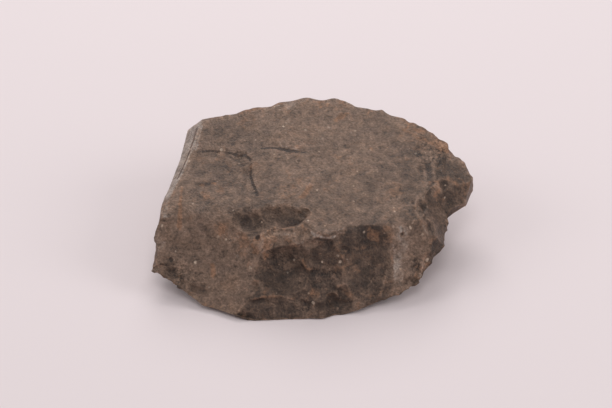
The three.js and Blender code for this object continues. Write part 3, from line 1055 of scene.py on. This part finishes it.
def weathered_obsidian(colours):
    """A satin, weathered skin: patina by flake, ochre soil, pale specks, dark pits, with painted highlights
    on ridges, painted shade in hollows and a painted glint on the left strip
    """
    material = bpy.data.materials.new(SLOT)
    material.use_nodes = True
    nodes = Nodes(material.node_tree)
    place = nodes.add("ShaderNodeTexCoord", out="Object")

    def attribute(name):
        return nodes.add("ShaderNodeAttribute", {"attribute_name": name}, out="Fac")

    def colour(name):
        return (*getattr(colours, name), 1.0)

    def skin_noise(name, where=place):
        size, detail, roughness, distortion = SKIN_NOISES[name]
        return nodes.noise(where, size * MM, detail, roughness, distortion)

    def spots(spacing, sizes, wander, edge):
        """Round spots, each of its own size"""
        size = nodes.cells(place, spacing * MM, out="Color") * sizes[0] + sizes[1]
        return (size + wander - nodes.cells(place, spacing * MM)).rise(0.0, edge)

    broad, mottle, patch, fine, strand = [
        skin_noise(name) - 0.5 for name in ("broad", "mottle", "patch", "fine", "strand")
    ]
    smear = skin_noise("smear", place.vector("MULTIPLY", SMEAR_STRETCH)) - 0.5
    tint = skin_noise("tint")
    rough = attribute("rough")
    ridge = attribute("ridge")
    scratch = (SCRATCH_WIDTH - strand.math("ABSOLUTE")).rise(0.0, SCRATCH_WIDTH)

    stray = nodes.noise(place, STRAY_SIZE * MM, out="Color").vector("SUBTRACT", (0.5, 0.5, 0.5))
    near, far = [place.vector("ADD", stray.scaled(distance * MM)) for distance in STRAY]
    painted = [paint_side(side, near, far, attribute(side)) for side in PAINTED_SIDES]
    mark_shade, mark_soil, speck = [first + second for first, second in zip(*painted)]

    parts = {
        "broad": broad,
        "smear": smear,
        "mottle": mottle,
        "ridge": ridge,
        "hollow": attribute("hollow"),
        "scratch": scratch * mottle.rise(0.0, SCRATCH_GAPS),
        "crest": attribute("crest"),
    }
    shade = attribute("patina") + mark_shade
    for name, share in SHADE_SHARES.items():
        shade = shade + parts[name] * share
    skin = nodes.mix(shade.rise(*GLASS_TO_PATINA), colour("glass"), colour("patina"))
    # painted sheen: past pale patina the skin turns to the palest colour, for pale dust and for the painted
    # glint and highlights
    skin = nodes.mix(shade.rise(*PATINA_TO_DUST_AND_SHEEN), skin, colour("dust"))
    for amount, name in ((tint, "cool"), (1.0 - tint, "warm")):
        tinted = skin.vector("MULTIPLY", tuple(getattr(colours, name)))
        skin = nodes.mix(amount.rise(*TINT_RISE) * TINT_SHARE, skin, tinted)
    soil = skin_noise("soil") + broad * 0.5 + patch * 0.3 + ridge * 0.1 + mark_soil * MARK_SOIL
    soil = soil.rise(*SOIL_RISE)
    skin = nodes.mix(soil * SOIL_SHARE, skin, colour("soil"))
    crystal = spots(CRYSTAL_SPACING, CRYSTAL_SIZES, patch * 0.3, 0.15)
    crystal_colour = nodes.mix(tint.rise(*CRYSTAL_TINT), colour("speck"), colour("soil"))
    skin = nodes.mix(crystal * CRYSTAL_SHARE, skin, crystal_colour)
    skin = nodes.mix(speck.clamped() * SPECK_SHARE, skin, colour("speck"))
    skin = nodes.mix(spots(HOLE_SPACING, HOLE_SIZES, 0.0, 0.1) * HOLE_SHARE, skin, colour("glass"))
    skin = nodes.mix(attribute("pit") * PIT_SHARE, skin, colour("glass"))
    grit = (fine * 1.7 + patch * 2.0 + mottle * 1.6) * (rough * 0.6 + 0.75)
    skin = skin.scaled(grit + smear * 0.6 + 1.0)
    glassy = 1.0 - shade.rise(0.0, 0.6)
    dust_and_sheen_share = shade.rise(*PATINA_TO_DUST_AND_SHEEN)
    roughness = soil * 0.2 + mottle * 0.3 - glassy * 0.1 - dust_and_sheen_share * 0.15 + SKIN_ROUGHNESS
    grain = {"Strength": BUMP_STRENGTH, "Distance": BUMP_DEPTH, "Height": fine + mottle}
    bump = nodes.add("ShaderNodeBump", None, grain)
    shader = nodes.add(
        "ShaderNodeBsdfPrincipled",
        None,
        {"Base Color": skin, "Roughness": roughness, "Normal": bump, "IOR": SKIN_IOR},
    )
    nodes.add("ShaderNodeOutputMaterial", None, {"Surface": shader})
    return material


def plain(name, colour, roughness):
    material = bpy.data.materials.new(name)
    material.use_nodes = True
    shader = material.node_tree.nodes["Principled BSDF"]
    shader.inputs["Base Color"].default_value = (*colour, 1.0)
    shader.inputs["Roughness"].default_value = roughness
    return material


def link(name, data):
    thing = bpy.data.objects.new(name, data)
    bpy.context.scene.collection.objects.link(thing)
    return thing


def aim(thing, target):
    thing.rotation_mode = "QUATERNION"
    thing.rotation_quaternion = (Vector(target) - thing.location).to_track_quat("-Z", "Y")


def panel_light(name, place, width, watts):
    lamp = bpy.data.lights.new(name, "AREA")
    lamp.shape = "SQUARE"
    lamp.size = width * LENGTH
    lamp.energy = watts
    light = link(name, lamp)
    light.location = Vector(place) * LENGTH
    aim(light, Vector(LIGHT_AIM) * LENGTH)


def lay_floor(colour):
    half = FLOOR_WIDTH * LENGTH / 2
    mesh = bpy.data.meshes.new("floor")
    corners = [(-half, -half, 0), (half, -half, 0), (half, half, 0), (-half, half, 0)]
    mesh.from_pydata(corners, [], [(0, 1, 2, 3)])
    floor = link("floor", mesh)
    mesh.materials.append(plain("pale paper", colour, FLOOR_ROUGHNESS))


def place_camera():
    lens = bpy.data.cameras.new("camera")
    lens.sensor_width = SENSOR
    lens.lens = SENSOR * VIEW_DISTANCE / VIEW_WIDTH
    camera = link("camera", lens)
    back = Vector(toward(-90, VIEW_ANGLE))
    camera.location = Vector(VIEW_TARGET) + back * VIEW_DISTANCE * LENGTH
    aim(camera, VIEW_TARGET)
    bpy.context.scene.camera = camera


class STONE_OT_build(bpy.types.Operator):
    """Flake the stone, weather it and give it its skin"""

    bl_idname = "stone.build"
    bl_label = "Build Stone"

    def execute(self, context):
        settings = context.scene.stone_settings
        material = weathered_obsidian(context.scene.skin_settings)
        stone = link("stone", shape_stone(settings))
        weather(stone, settings, material)
        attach(stone, "root")
        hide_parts(NODE)
        return {"FINISHED"}


class STONE_OT_stage(bpy.types.Operator):
    """Lay the floor, hang the lights and place the camera"""

    bl_idname = "stone.stage"
    bl_label = "Set Stage"

    def execute(self, context):
        lay_floor(context.scene.skin_settings.floor)
        for light in LIGHTS:
            panel_light(*light)
        world = bpy.data.worlds.new("room")
        world.use_nodes = True
        background = world.node_tree.nodes["Background"]
        background.inputs["Color"].default_value = (*SKY, 1.0)
        background.inputs["Strength"].default_value = SKY_STRENGTH
        context.scene.world = world
        context.scene.view_settings.view_transform = "Standard"
        place_camera()
        return {"FINISHED"}


class STONE_PT_panel(bpy.types.Panel):
    """The stone's settings and the steps that make it"""

    bl_idname = "STONE_PT_panel"
    bl_label = "Obsidian Rock"
    bl_space_type = "VIEW_3D"
    bl_region_type = "UI"
    bl_category = "Stone"

    def draw(self, context):
        for group in (context.scene.stone_settings, context.scene.skin_settings):
            for name in group.__annotations__:
                self.layout.prop(group, name)
        for step in (STONE_OT_build, STONE_OT_stage):
            self.layout.operator(step.bl_idname)


CLASSES = (StoneSettings, SkinSettings, STONE_OT_build, STONE_OT_stage, STONE_PT_panel)


def register():
    for item in CLASSES:
        bpy.utils.register_class(item)
    bpy.types.Scene.stone_settings = bpy.props.PointerProperty(type=StoneSettings)
    bpy.types.Scene.skin_settings = bpy.props.PointerProperty(type=SkinSettings)


def unregister():
    del bpy.types.Scene.skin_settings
    del bpy.types.Scene.stone_settings
    for item in reversed(CLASSES):
        bpy.utils.unregister_class(item)


def main():
    register()
    bpy.ops.stone.build()
    bpy.ops.stone.stage()


if __name__ == "__main__":
    main()
